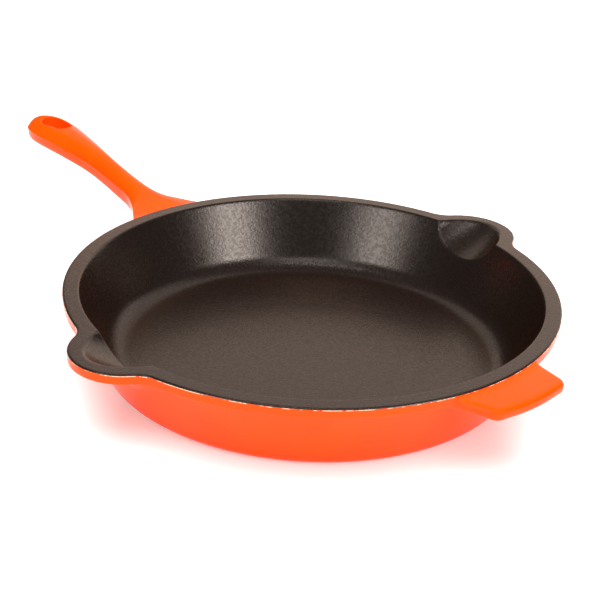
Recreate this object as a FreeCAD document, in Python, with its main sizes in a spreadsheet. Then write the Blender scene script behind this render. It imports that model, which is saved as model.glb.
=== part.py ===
"""Enamelled cast iron skillet with two pour spouts, a long handle and a helper handle.

Frame: origin at the centre of the base's underside, +Z up, +X along the long handle, so that the helper
handle points to -X and the pour spouts to +Y and -Y. Millimetres.

The pan is one iron casting, coated with enamel of one thickness. Every outer and inner form is therefore
built twice by the same function: at an inset of nothing, which is the enamel's own surface, and at an
inset of one coat, which is the iron's surface. The coats and the iron meet on those surfaces.
"""
import FreeCAD, Part
import os
import Sketcher
from FreeCAD import Placement, Rotation, Vector

DIMENSIONS = {
    # enamel
    "coat": 0.4,
    # pan body
    "rim_radius": 135.0,
    "rim_height": 45.0,
    "rim_land": 8.8,
    "band_height": 5.8,
    "wall_slope": 22.9,
    "wall_foot_radius": 112.6,
    "foot_rounding": 8.0,
    "floor_thickness": 4.7,
    "floor_rounding": 13.7,
    "floor_radius": 100.0,
    "base_radius": 105.0,
    # pour spouts: a nose on the rim band, a scooped trough in it and a belly of metal under the trough
    "nose_reach": 124.5,
    "nose_radius": 28.0,
    "nose_blend": 17.0,
    "scoop_reach": 95.0,
    "scoop_height": 44.0,
    "scoop_tilt": 17.0,
    "scoop_depth": 22.1,
    "scoop_half_width": 27.7,
    "scoop_half_length": 60.9,
    "belly_thickness": 5.0,
    "spout_cut_half_width": 35.0,
    "spout_cut_bottom": 20.0,
    # helper handle
    "helper_top": 43.1,
    "helper_bottom": 36.6,
    "helper_end": 153.2,
    "helper_end_half_width": 25.1,
    "helper_end_offset": -4.8,
    "helper_bulge": 3.3,
    "helper_bulge_radius": 95.0,
    "helper_waist": 131.5,
    "helper_waist_half_width": 30.2,
    "helper_waist_offset": -3.1,
    "helper_root": 110.0,
    "helper_root_half_width": 49.0,
    "helper_corner": 6.0,
    "helper_blend": 9.0,
    "helper_edge": 2.6,
    # hanging hole
    "hole_inner_place": 248.4,
    "hole_inner_radius": 5.6,
    "hole_outer_place": 259.4,
    "hole_outer_radius": 7.3,
}

# Cross-sections of the long handle, from inside the pan's wall to the rounded tip. Each has its place
# along X, its half width, the height of its widest line above the rim, the rise of its domed top over
# that line and the drop of its boxed underside below it.
HANDLE_STATIONS = {
    "root": (117.0, 36.0, -1.3, 0.5, 11.1),
    "shoulder": (135.0, 23.2, -1.1, 0.8, 11.6),
    "flare": (146.0, 16.2, -0.3, 2.3, 11.1),
    "neck": (162.0, 8.7, 0.7, 5.8, 9.0),
    "waist": (182.0, 7.1, 3.7, 7.0, 7.8),
    "grip": (208.0, 8.2, 8.9, 7.3, 7.2),
    "palm": (232.0, 12.0, 12.6, 7.3, 7.2),
    "bulb": (254.0, 14.6, 14.7, 7.3, 7.2),
    "head": (267.0, 13.8, 15.0, 6.9, 6.9),
    "nose": (275.0, 10.3, 14.9, 5.4, 5.7),
    "tip": (278.7, 5.6, 14.7, 3.6, 3.9),
    "end": (280.1, 2.2, 14.6, 1.8, 1.9),
}
STATION_SIZES = ("along", "half_width", "parting", "dome", "drop")
UNDERSIDE_SHARE = 0.80
LOWER_CORNER_SHARE = 0.62

NOTHING = "0"
COAT = "sizes.coat"
UPRIGHT_ACROSS = Rotation(Vector(1, 1, 1), 120)
SIDES = (("left", "1"), ("right", "-1"))


# ---------------------------------------------------------------- document and helpers

def new_document():
    """The document with its sheet of driving dimensions."""
    doc = FreeCAD.newDocument("skillet")
    sheet = doc.addObject("Spreadsheet::Sheet", "sizes")
    cells = dict(DIMENSIONS)
    for station, values in HANDLE_STATIONS.items():
        for size, value in zip(STATION_SIZES, values):
            cells[f"{station}_{size}"] = value
    for row, (alias, value) in enumerate(cells.items(), start=1):
        sheet.set(f"A{row}", alias.replace("_", " "))
        sheet.set(f"B{row}", str(value))
        sheet.setAlias(f"B{row}", alias)
    doc.recompute()
    return doc


def bind(feature, formulas):
    """Bind each property of a feature to its sheet formula."""
    for name, formula in formulas.items():
        feature.setExpression(name, formula)
    return feature


def value_of(feature, formula):
    """The number that a sheet formula gives now."""
    result = feature.evalExpression(formula)
    return float(getattr(result, "Value", result))


def cylinder(doc, name, radius, height):
    """An upright cylinder that stands at the frame's origin."""
    return bind(doc.addObject("Part::Cylinder", name), {"Radius": radius, "Height": height})


def fuse(doc, name, shapes):
    """All the shapes as one."""
    feature = doc.addObject("Part::MultiFuse", name)
    feature.Shapes = shapes
    return feature


def common(doc, name, shapes):
    """What the shapes share."""
    feature = doc.addObject("Part::MultiCommon", name)
    feature.Shapes = shapes
    return feature


def cut(doc, name, base, tools):
    """The base with each tool taken away in turn."""
    for place, tool in enumerate(tools, start=1):
        feature = doc.addObject("Part::Cut", name if place == len(tools) else f"{name}_step_{place}")
        feature.Base = base
        feature.Tool = tool
        base = feature
    return base


def body_sketch(body, name, plane, height=NOTHING):
    """An empty sketch on one of the body's own origin planes, raised by a height along its normal."""
    sketch = body.newObject("Sketcher::SketchObject", name)
    origin_plane = next(item for item in body.Origin.OriginFeatures if item.Role == plane)
    sketch.AttachmentSupport = [(origin_plane, "")]
    sketch.MapMode = "FlatFace"
    return bind(sketch, {"AttachmentOffset.Base.z": height})


def pin(sketch, geometry, end, right, up):
    """Hold one end of a sketch element at a pair of sheet formulas, measured from the sketch's origin."""
    for kind, formula in (("DistanceX", right), ("DistanceY", up)):
        held = sketch.addConstraint(Sketcher.Constraint(kind, -1, 1, geometry, end, value_of(sketch, formula)))
        sketch.setExpression(f"Constraints[{held}]", formula)


def size(sketch, kind, geometry, formula):
    """Give a sketch element a size from a sheet formula."""
    held = sketch.addConstraint(Sketcher.Constraint(kind, geometry, value_of(sketch, formula)))
    sketch.setExpression(f"Constraints[{held}]", formula)


def draw_polygon(sketch, corners):
    """A closed outline through corners given as pairs of sheet formulas."""
    points = [Vector(value_of(sketch, right), value_of(sketch, up), 0) for right, up in corners]
    count = len(points)
    for place in range(count):
        sketch.addGeometry(Part.LineSegment(points[place], points[(place + 1) % count]), False)
    for place in range(count):
        sketch.addConstraint(Sketcher.Constraint("Coincident", place, 2, (place + 1) % count, 1))
        pin(sketch, place, 1, *corners[place])


def draw_circle(sketch, right, up, radius):
    """A circle at a place and of a radius given as sheet formulas."""
    centre = Vector(value_of(sketch, right), value_of(sketch, up), 0)
    circle = sketch.addGeometry(Part.Circle(centre, Vector(0, 0, 1), value_of(sketch, radius)), False)
    pin(sketch, circle, 3, right, up)
    size(sketch, "Radius", circle, radius)


def revolve(body, sketch):
    """The sketch turned a full turn about the body's Z axis."""
    turned = body.newObject("PartDesign::Revolution", f"{sketch.Name}_turned")
    turned.Profile = sketch
    turned.ReferenceAxis = (sketch, ["V_Axis"])
    turned.Angle = 360
    body.Document.recompute()
    return turned


def pad(body, sketch, length):
    """The sketch drawn upwards by a sheet formula's length."""
    raised = body.newObject("PartDesign::Pad", f"{sketch.Name}_raised")
    raised.Profile = sketch
    bind(raised, {"Length": length})
    body.Document.recompute()
    return raised


def fillet(body, feature, radius, chosen):
    """Round the chosen edges of the body's newest feature."""
    names = [f"Edge{place}" for place, edge in enumerate(feature.Shape.Edges, start=1) if chosen(edge)]
    rounded = body.newObject("PartDesign::Fillet", f"{feature.Name}_rounded")
    rounded.Base = (feature, names)
    bind(rounded, {"Radius": radius})
    body.Document.recompute()
    return rounded


def is_upright(edge):
    """Whether an edge runs straight up."""
    box = edge.BoundBox
    return box.ZLength > 1e-3 and box.XLength < 1e-6 and box.YLength < 1e-6


def is_level(edge):
    """Whether an edge lies at one height."""
    return edge.BoundBox.ZLength < 1e-6


# ---------------------------------------------------------------- forms, each at an inset

def pan_solid(doc, name, inset):
    """The pan's outside as a filled, upward-opening cone with a rounded foot, up to the rim's top."""
    body = doc.addObject("PartDesign::Body", name)
    sketch = body_sketch(body, f"{name}_profile", "XZ_Plane")
    shrink = f"{inset} / cos(sizes.wall_slope)"
    foot = f"sizes.wall_foot_radius + {inset} * tan(sizes.wall_slope) - {shrink}"
    top = f"sizes.rim_height - {inset}"
    head = f"sizes.wall_foot_radius + ({top}) * tan(sizes.wall_slope) - {shrink}"
    draw_polygon(sketch, [(NOTHING, inset), (foot, inset), (head, top), (NOTHING, top)])
    turned = revolve(body, sketch)
    lowest = value_of(sketch, inset)
    fillet(body, turned, f"sizes.foot_rounding - {inset}",
           lambda edge: is_level(edge) and abs(edge.BoundBox.ZMin - lowest) < 1e-6)
    return body


def rim_plate(doc, name, inset, bottom, top):
    """The rim band's outline, the round pan with a blended nose each side, between two heights."""
    body = doc.addObject("PartDesign::Body", name)
    ring = body_sketch(body, f"{name}_ring", "XY_Plane", bottom)
    draw_circle(ring, NOTHING, NOTHING, f"sizes.rim_radius - {inset}")
    pad(body, ring, f"({top}) - ({bottom})")
    for side, sign in (("left", ""), ("right", "-")):
        nose = body_sketch(body, f"{name}_{side}_nose", "XY_Plane", bottom)
        draw_circle(nose, NOTHING, f"{sign}sizes.nose_reach", f"sizes.nose_radius - {inset}")
        newest = pad(body, nose, f"({top}) - ({bottom})")
    seam = value_of(ring, "sizes.rim_radius") * 0.5
    fillet(body, newest, f"sizes.nose_blend + {inset}",
           lambda edge: is_upright(edge) and abs(edge.BoundBox.YMin) > seam)
    return body


def scoop(doc, name, side, growth):
    """The tilted ellipsoid that a spout's trough follows, grown by a growth and rising outwards."""
    feature = doc.addObject("Part::Ellipsoid", name)
    feature.Placement = Placement(Vector(), Rotation(Vector(1, 0, 0), 1))
    return bind(feature, {
        "Radius1": f"sizes.scoop_depth + {growth}",
        "Radius2": f"sizes.scoop_half_width + {growth}",
        "Radius3": f"sizes.scoop_half_length + {growth}",
        "Placement.Base.y": f"{side} * sizes.scoop_reach",
        "Placement.Base.z": "sizes.scoop_height",
        "Placement.Rotation.Angle": f"{side} * sizes.scoop_tilt",
    })


def outside(doc, name, inset):
    """Everything inside the pan's outer surface, handles left out."""
    band_bottom = f"sizes.rim_height - sizes.band_height + {inset}"
    below_rim = cylinder(doc, f"{name}_below_rim", "sizes.nose_reach + sizes.nose_radius",
                         "sizes.rim_height - sizes.band_height / 2")
    bellies = [scoop(doc, f"{name}_{side}_belly", sign, f"sizes.belly_thickness - {inset}")
               for side, sign in SIDES]
    return fuse(doc, name, [
        pan_solid(doc, f"{name}_cone", inset),
        rim_plate(doc, f"{name}_band", inset, band_bottom, f"sizes.rim_height - {inset}"),
        common(doc, f"{name}_left_low_belly", [bellies[0], below_rim]),
        common(doc, f"{name}_right_low_belly", [bellies[1], below_rim]),
    ])


def hollow(doc, name, growth):
    """The space inside the pan, its two pour troughs included, grown outwards by a growth."""
    body = doc.addObject("PartDesign::Body", f"{name}_bowl")
    sketch = body_sketch(body, f"{name}_profile", "XZ_Plane")
    above = "(sizes.rim_height + sizes.rim_land)"
    bottom = f"sizes.floor_thickness - {growth}"
    edge = f"sizes.rim_radius - sizes.rim_land + {growth} / cos(sizes.wall_slope)"
    foot = f"{edge} - (sizes.rim_height - ({bottom})) * tan(sizes.wall_slope)"
    head = f"{edge} + sizes.rim_land * tan(sizes.wall_slope)"
    draw_polygon(sketch, [(NOTHING, bottom), (foot, bottom), (head, above), (NOTHING, above)])
    turned = revolve(body, sketch)
    lowest = value_of(sketch, bottom)
    fillet(body, turned, f"sizes.floor_rounding + {growth}",
           lambda item: is_level(item) and abs(item.BoundBox.ZMin - lowest) < 1e-6)
    scoops = [scoop(doc, f"{name}_{side}_scoop", sign, growth) for side, sign in SIDES]
    return fuse(doc, name, [body] + scoops)


def helper_form(doc, name, inset):
    """The helper handle: a flat tab with a bulging end, rounded corners and edges, and a flared root."""
    body = doc.addObject("PartDesign::Body", name)
    sketch = body_sketch(body, f"{name}_outline", "XY_Plane", f"sizes.helper_bottom + {inset}")
    root, waist, end = (f"-sizes.helper_{place}" for place in ("root", "waist", "end"))
    tip = f"{end} - sizes.helper_bulge + {inset}"
    corners = []
    for sign in ("-", "+"):
        side = [
            (f"{end} + {inset}", f"sizes.helper_end_offset {sign} (sizes.helper_end_half_width - {inset})"),
            (waist, f"sizes.helper_waist_offset {sign} (sizes.helper_waist_half_width - {inset})"),
            (root, f"sizes.helper_waist_offset {sign} (sizes.helper_root_half_width - {inset})"),
        ]
        corners += side if sign == "-" else side[::-1]
    draw_polygon(sketch, corners + [(tip, "sizes.helper_end_offset")])
    newest = pad(body, sketch, f"sizes.helper_top - sizes.helper_bottom - 2 * {inset}")
    for place, radius in (
        (f"{end} + {inset}", f"sizes.helper_corner - {inset}"),
        (waist, f"sizes.helper_blend + {inset}"),
        (tip, f"sizes.helper_bulge_radius - {inset}"),
    ):
        at = value_of(sketch, place)
        newest = fillet(body, newest, radius,
                        lambda edge: is_upright(edge) and abs(edge.BoundBox.XMin - at) < 1e-6)
    inner_end = value_of(sketch, root) - 1e-3
    fillet(body, newest, f"sizes.helper_edge - {inset}",
           lambda edge: is_level(edge) and edge.BoundBox.XMin < inner_end)
    return body


def handle_section(doc, name, station, inset):
    """One cross-section of the long handle: a domed top over a boxed underside with cut corners."""
    sketch = doc.addObject("Sketcher::SketchObject", name)
    along = f"sizes.{station}_along"
    if station == "end":
        along = f"{along} - {inset}"
    sketch.Placement = Placement(Vector(value_of(sketch, along), 0, 0), UPRIGHT_ACROSS)
    bind(sketch, {"Placement.Base.x": along})
    half = f"(sizes.{station}_half_width - {inset})"
    widest = f"(sizes.rim_height + sizes.{station}_parting)"
    rise = f"(sizes.{station}_dome - {inset})"
    drop = f"(sizes.{station}_drop - {inset})"
    corner = f"({widest} - {LOWER_CORNER_SHARE} * {drop})"
    underside = f"({widest} - {drop})"
    corners = [
        (half, widest),
        (half, corner),
        (f"{UNDERSIDE_SHARE} * {half}", underside),
        (f"-{UNDERSIDE_SHARE} * {half}", underside),
        (f"-{half}", corner),
        (f"-{half}", widest),
    ]
    points = [Vector(value_of(sketch, right), value_of(sketch, up), 0) for right, up in corners]
    crest = Vector(0, value_of(sketch, f"{widest} + {rise}"), 0)
    for first, second in zip(points, points[1:]):
        sketch.addGeometry(Part.LineSegment(first, second), False)
    dome = sketch.addGeometry(Part.Arc(points[0], crest, points[-1]), False)
    for place in range(len(points) - 2):
        sketch.addConstraint(Sketcher.Constraint("Coincident", place, 2, place + 1, 1))
    for place in range(len(points) - 1):
        pin(sketch, place, 1, *corners[place])
    pin(sketch, len(points) - 2, 2, *corners[-1])
    sketch.addConstraint(Sketcher.Constraint("Coincident", dome, 1, 0, 1))
    sketch.addConstraint(Sketcher.Constraint("Coincident", dome, 2, len(points) - 2, 2))
    size(sketch, "Radius", dome, f"({half} * {half} + {rise} * {rise}) / (2 * {rise})")
    return sketch


def hanging_hole(doc, name, growth):
    """The egg-shaped hanging hole as a tall plug: two round ends joined by straight tangent sides."""
    body = doc.addObject("PartDesign::Body", name)
    sketch = body_sketch(body, f"{name}_outline", "XY_Plane", "sizes.rim_height - sizes.rim_land")
    ends = []
    for end in ("inner", "outer"):
        place = f"sizes.hole_{end}_place"
        radius = f"sizes.hole_{end}_radius + {growth}"
        ends.append((place, radius, value_of(sketch, place), value_of(sketch, radius)))
    span = ends[1][2] - ends[0][2]
    lean = (ends[1][3] - ends[0][3]) / span
    rise = (1.0 - lean * lean) ** 0.5
    touching = [[Vector(at - lean * radius, sign * rise * radius, 0) for sign in (1, -1)]
                for _, _, at, radius in ends]
    inner_at, outer_at = Vector(ends[0][2] - ends[0][3], 0, 0), Vector(ends[1][2] + ends[1][3], 0, 0)
    inner = sketch.addGeometry(Part.Arc(touching[0][0], inner_at, touching[0][1]), False)
    outer = sketch.addGeometry(Part.Arc(touching[1][1], outer_at, touching[1][0]), False)
    lower = sketch.addGeometry(Part.LineSegment(touching[0][1], touching[1][1]), False)
    upper = sketch.addGeometry(Part.LineSegment(touching[1][0], touching[0][0]), False)
    for arc, (place, radius, _, _) in ((inner, ends[0]), (outer, ends[1])):
        pin(sketch, arc, 3, place, NOTHING)
        size(sketch, "Radius", arc, radius)
    for first, first_end, second, second_end in (
        (inner, 2, lower, 1), (lower, 2, outer, 1), (outer, 2, upper, 1), (upper, 2, inner, 1),
    ):
        sketch.addConstraint(Sketcher.Constraint("Tangent", first, first_end, second, second_end))
    pad(body, sketch, "sizes.rim_radius / 2")
    return body


def handle_form(doc, name, inset):
    """The long handle: one smooth skin through its cross-sections, pierced by the hanging hole."""
    skin = doc.addObject("Part::Loft", f"{name}_skin")
    skin.Sections = [handle_section(doc, f"{name}_{station}", station, inset) for station in HANDLE_STATIONS]
    skin.Solid = True
    skin.Ruled = False
    return cut(doc, name, skin, [hanging_hole(doc, f"{name}_hole", inset)])


# ---------------------------------------------------------------- sub-parts

def spout_block(doc, side, sign):
    """The block of space that holds one pour spout of the casting."""
    block = doc.addObject("Part::Box", f"{side}_spout_block")
    low_reach = "sizes.floor_radius" if sign > 0 else "-2 * sizes.floor_radius"
    return bind(block, {
        "Length": "2 * sizes.spout_cut_half_width",
        "Width": "sizes.floor_radius",
        "Height": "sizes.rim_height - sizes.spout_cut_bottom",
        "Placement.Base.x": "-sizes.spout_cut_half_width",
        "Placement.Base.y": low_reach,
        "Placement.Base.z": "sizes.spout_cut_bottom",
    })


def build(doc):
    """All the sub-parts, by node name."""
    skin = outside(doc, "enamel_outside", NOTHING)
    iron_skin = outside(doc, "iron_outside", COAT)
    space = hollow(doc, "enamel_hollow", NOTHING)
    iron_space = hollow(doc, "iron_hollow", COAT)
    rim_coat = rim_plate(doc, "rim_coat", NOTHING, "sizes.rim_height - sizes.coat", "sizes.rim_height")
    handle = handle_form(doc, "handle_outside", NOTHING)
    iron_handle = handle_form(doc, "handle_iron_outside", COAT)
    helper = helper_form(doc, "helper_outside", NOTHING)
    iron_helper = helper_form(doc, "helper_iron_outside", COAT)
    floor_plug = cylinder(doc, "floor_plug", "sizes.floor_radius", "sizes.rim_height")
    blocks = {side: spout_block(doc, side, sign) for side, sign in (("left", 1), ("right", -1))}

    casting = cut(doc, "casting", iron_skin, [iron_space])
    parts = {
        "pan_floor": common(doc, "pan_floor", [casting, floor_plug]),
        "pan_wall": cut(doc, "pan_wall", casting, [floor_plug, blocks["left"], blocks["right"]]),
    }
    for side, block in blocks.items():
        node = f"{side}_pour_spout"
        parts[node] = common(doc, node, [casting, block])
    parts["long_handle"] = cut(doc, "long_handle", iron_handle, [iron_skin])
    parts["helper_handle"] = cut(doc, "helper_handle", iron_helper, [iron_skin])

    lining = fuse(doc, "lining_blank", [iron_space, rim_coat])
    parts["interior_enamel"] = cut(doc, "interior_enamel", common(doc, "lining", [lining, skin]), [space])
    base = cylinder(doc, "base_enamel", "sizes.base_radius", "sizes.coat")
    parts["base_enamel"] = base
    parts["exterior_enamel"] = cut(doc, "exterior_enamel", skin, [iron_skin, rim_coat, base, handle, helper])
    parts["long_handle_enamel"] = cut(doc, "long_handle_enamel", handle, [iron_handle, iron_skin])
    parts["helper_handle_enamel"] = cut(doc, "helper_handle_enamel", helper, [iron_helper, iron_skin])
    for node, part in parts.items():
        part.Label = node
    doc.recompute()
    return parts


def check(doc, parts):
    """Stop if any object failed, or any sub-part isn't one or more valid solids."""
    for item in doc.Objects:
        if "Invalid" in item.State or "Error" in item.State:
            raise RuntimeError(f"{item.Name} failed: {item.State}")
    for node, part in parts.items():
        if part.Shape.isNull() or not part.Shape.isValid() or not part.Shape.Solids:
            raise RuntimeError(f"{node} is not a valid solid")
        if part.Shape.Volume <= 0:
            raise RuntimeError(f"{node} has no volume")


def export(parts):
    """Write one STEP file per node and print its size."""
    os.makedirs("parts", exist_ok=True)
    for node, part in parts.items():
        part.Shape.exportStep(f"parts/{node}.step")
        box = part.Shape.optimalBoundingBox()
        print(f"{node:22s} solids {len(part.Shape.Solids)}  volume {part.Shape.Volume / 1000:9.2f} cm3  "
              f"x {box.XMin:8.2f} {box.XMax:8.2f}  y {box.YMin:8.2f} {box.YMax:8.2f}  "
              f"z {box.ZMin:6.2f} {box.ZMax:6.2f}")


document = new_document()
sub_parts = build(document)
check(document, sub_parts)
export(sub_parts)
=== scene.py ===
"""Looks of the enamelled cast iron skillet: smooth enamel coats over the CAD casting, a floor and soft light.

Frame: +X along the long handle, the helper handle to -X, the pour spouts to +Y and -Y, +Z up, origin at the
centre of the base's underside. Sizes in the classes are millimetres; meshes are written in metres.
"""

import logging
import math
from dataclasses import dataclass, field
from enum import Enum
from typing import Callable, Sequence

import bpy
import numpy as np
from mathutils import Matrix, Vector

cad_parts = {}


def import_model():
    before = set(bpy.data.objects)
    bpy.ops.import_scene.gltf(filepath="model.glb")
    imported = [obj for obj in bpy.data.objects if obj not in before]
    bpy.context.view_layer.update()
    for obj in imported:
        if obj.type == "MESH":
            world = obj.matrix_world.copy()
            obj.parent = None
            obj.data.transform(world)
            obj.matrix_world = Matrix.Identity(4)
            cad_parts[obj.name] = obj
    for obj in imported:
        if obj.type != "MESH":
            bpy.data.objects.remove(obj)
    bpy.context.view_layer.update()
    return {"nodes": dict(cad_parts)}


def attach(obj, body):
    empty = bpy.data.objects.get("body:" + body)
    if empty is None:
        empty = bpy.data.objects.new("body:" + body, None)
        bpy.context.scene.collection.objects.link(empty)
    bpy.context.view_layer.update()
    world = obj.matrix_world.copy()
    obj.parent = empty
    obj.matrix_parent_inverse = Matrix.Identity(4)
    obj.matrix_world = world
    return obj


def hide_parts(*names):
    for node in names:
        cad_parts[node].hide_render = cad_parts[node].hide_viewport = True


MM = 0.001
Array = np.ndarray
Colour = tuple[float, float, float]
Value = bpy.types.NodeSocket | float
log = logging.getLogger("skillet")


class Slot(Enum):
    """The material slots that the coats fill."""

    INTERIOR = "interior_black"
    EXTERIOR = "exterior_orange"


# ---------------------------------------------------------------- numbers on arrays

def smoothstep(values: Array, low: float, high: float) -> Array:
    """A smooth rise from 0 at low to 1 at high.

    Args:
        values: where to evaluate it.
        low: where the rise starts.
        high: where the rise ends.

    Returns:
        The rise at each value.
    """
    share = np.clip((values - low) / (high - low), 0.0, 1.0)
    return share * share * (3.0 - 2.0 * share)


def smooth_min(first: Array, second: Array, width: float) -> Array:
    """The lower of two heights, blended where they are close.

    Args:
        first: one height at every place.
        second: the other height.
        width: the difference below which they blend.

    Returns:
        min(a, b) - h^2 w / 4, with h = max(w - |a - b|, 0) / w.
    """
    share = np.maximum(width - np.abs(first - second), 0.0) / width
    return np.minimum(first, second) - share * share * width * 0.25


def smooth_max(first: Array, second: Array, width: float) -> Array:
    """The higher of two heights, blended over a width."""
    return -smooth_min(-first, -second, width)


def bisect(function: Callable[[Array], Array], low: Array, high: Array, rounds: int = 44) -> Array:
    """Where a function changes sign, for many brackets at once.

    Args:
        function: negative at low and positive at high, element by element.
        low: one end of each bracket.
        high: the other end of each bracket.
        rounds: how often each bracket is halved.

    Returns:
        The crossing in each bracket.
    """
    low, high = np.broadcast_arrays(low, high)
    low, high = low.astype(float).copy(), high.astype(float).copy()
    for _ in range(rounds):
        middle = 0.5 * (low + high)
        below = function(middle) < 0.0
        low, high = np.where(below, middle, low), np.where(below, high, middle)
    return 0.5 * (low + high)


def spread(ends: Sequence[float], steps: Sequence[int]) -> Array:
    """Values through the ends, evenly spaced between each pair.

    Args:
        ends: the values to pass through.
        steps: how many steps there are between each pair.

    Returns:
        All the values, the first and last ends included.
    """
    runs = [np.linspace(a, b, n, endpoint=False) for a, b, n in zip(ends[:-1], ends[1:], steps)]
    return np.concatenate(runs + [np.array([ends[-1]], float)])


def straight(start: Array, end: Array, steps: int) -> Array:
    """Rows on the straight way A + t (B - A), without the start itself.

    Args:
        start: the row it leaves.
        end: the row it reaches.
        steps: how many rows to return.

    Returns:
        The rows, the end last.
    """
    share = np.linspace(0.0, 1.0, steps + 1)[1:].reshape(-1, *[1] * np.ndim(start))
    return start + (end - start) * share


def curved(start: Array, bend: Array, end: Array, steps: int) -> Array:
    """Rows on the quadratic curve (1 - t)^2 A + 2 t (1 - t) B + t^2 C, without the start itself.

    Args:
        start: the row it leaves.
        bend: the corner it rounds.
        end: the row it reaches.
        steps: how many rows to return.

    Returns:
        The rows, the end last.
    """
    share = np.linspace(0.0, 1.0, steps + 1)[1:].reshape(-1, *[1] * np.ndim(start))
    return (1.0 - share) ** 2 * start + 2.0 * share * (1.0 - share) * bend + share ** 2 * end


def on_rings(radius: Array, angle: Array, height: Array | float) -> Array:
    """Points at distances and directions from the pan's axis: (r cos a, r sin a, z)."""
    radius, angle, height = np.broadcast_arrays(radius, angle, height)
    return np.stack([radius * np.cos(angle), radius * np.sin(angle), height], -1)


def pushed_in(points: Array, thickness: float) -> Array:
    """Rings of points moved against their normals, for the hidden side of a thin coat.

    Args:
        points: shape (rings, directions, 3).
        thickness: how far each point moves.

    Returns:
        p - t n, n the unit vector along (dp / dring) x (dp / ddirection).
    """
    around = np.roll(points, -1, axis=1) - np.roll(points, 1, axis=1)
    normal = np.cross(np.gradient(points, axis=0), around)
    normal /= np.maximum(np.linalg.norm(normal, axis=-1, keepdims=True), 1e-9)
    return points - thickness * normal


def even_by_length(curve: Array, count: int) -> Array:
    """A plane curve resampled at equal lengths along itself.

    Args:
        curve: dense points, shape (n, 2).
        count: how many points to return.

    Returns:
        The resampled points, shape (count, 2).
    """
    lengths = np.concatenate([[0.0], np.cumsum(np.hypot(*np.diff(curve, axis=0).T))])
    places = np.linspace(0.0, lengths[-1], count)
    return np.stack([np.interp(places, lengths, curve[:, k]) for k in range(2)], axis=1)


# ---------------------------------------------------------------- meshes

class Surface:
    """A mesh gathered from grids of points and the quads between them."""

    def __init__(self, name: str) -> None:
        """Start an empty surface with a plain name."""
        self.name = name
        self.points: list[Array] = []
        self.faces: list[Array] = []
        self.count = 0

    def add(self, points: Array) -> Array:
        """Add a grid of points, in millimetres.

        Args:
            points: shape (..., 3).

        Returns:
            The points' numbers, with the grid's shape.
        """
        flat = points.reshape(-1, 3)
        numbers = np.arange(self.count, self.count + len(flat)).reshape(points.shape[:-1])
        self.points.append(flat)
        self.count += len(flat)
        return numbers

    def quads(self, numbers: Array, closed: bool = False, flip: bool = False) -> None:
        """Join a grid of point numbers with quads.

        Args:
            numbers: shape (rows, columns).
            closed: whether the last column joins the first.
            flip: whether the faces look the other way.
        """
        grid = np.concatenate([numbers, numbers[:, :1]], axis=1) if closed else numbers
        corners = np.stack([grid[:-1, :-1], grid[:-1, 1:], grid[1:, 1:], grid[1:, :-1]], axis=-1)
        corners = corners.reshape(-1, 4)
        self.faces.append(corners[:, ::-1] if flip else corners)

    def fan(self, centre: Array, ring: Array, flip: bool = False) -> None:
        """Close a ring of points with triangles to one point.

        Args:
            centre: that point's number.
            ring: the ring's point numbers.
            flip: whether the faces look the other way.
        """
        after = np.roll(ring, -1)
        corners = np.stack([np.full_like(ring, centre), ring, after], axis=-1)
        self.faces.append(corners[:, ::-1] if flip else corners)

    def cap(self, ring: Array, flip: bool = False) -> None:
        """Close a loop of points with one face."""
        self.faces.append((ring[::-1] if flip else ring)[None])

    def build(self) -> bpy.types.Object:
        """Write the gathered points and faces as a smooth-shaded mesh.

        Returns:
            The object, at the origin.
        """
        points = np.concatenate(self.points) * MM
        loops = np.concatenate([faces.reshape(-1) for faces in self.faces])
        sizes = np.concatenate([np.full(len(faces), faces.shape[1]) for faces in self.faces])
        starts = np.concatenate([[0], np.cumsum(sizes)[:-1]])
        mesh = bpy.data.meshes.new(self.name)
        mesh.vertices.add(len(points))
        mesh.vertices.foreach_set("co", points.astype(np.float32).ravel())
        mesh.loops.add(len(loops))
        mesh.loops.foreach_set("vertex_index", loops.astype(np.int32))
        mesh.polygons.add(len(sizes))
        mesh.polygons.foreach_set("loop_start", starts.astype(np.int32))
        mesh.polygons.foreach_set("use_smooth", np.ones(len(sizes), bool))
        mesh.update(calc_edges=True)
        mesh.validate()
        built = bpy.data.objects.new(self.name, mesh)
        bpy.context.scene.collection.objects.link(built)
        log.info("%s: %d points, %d faces", self.name, len(points), len(sizes))
        return built


# ---------------------------------------------------------------- shapes of the pan

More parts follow.
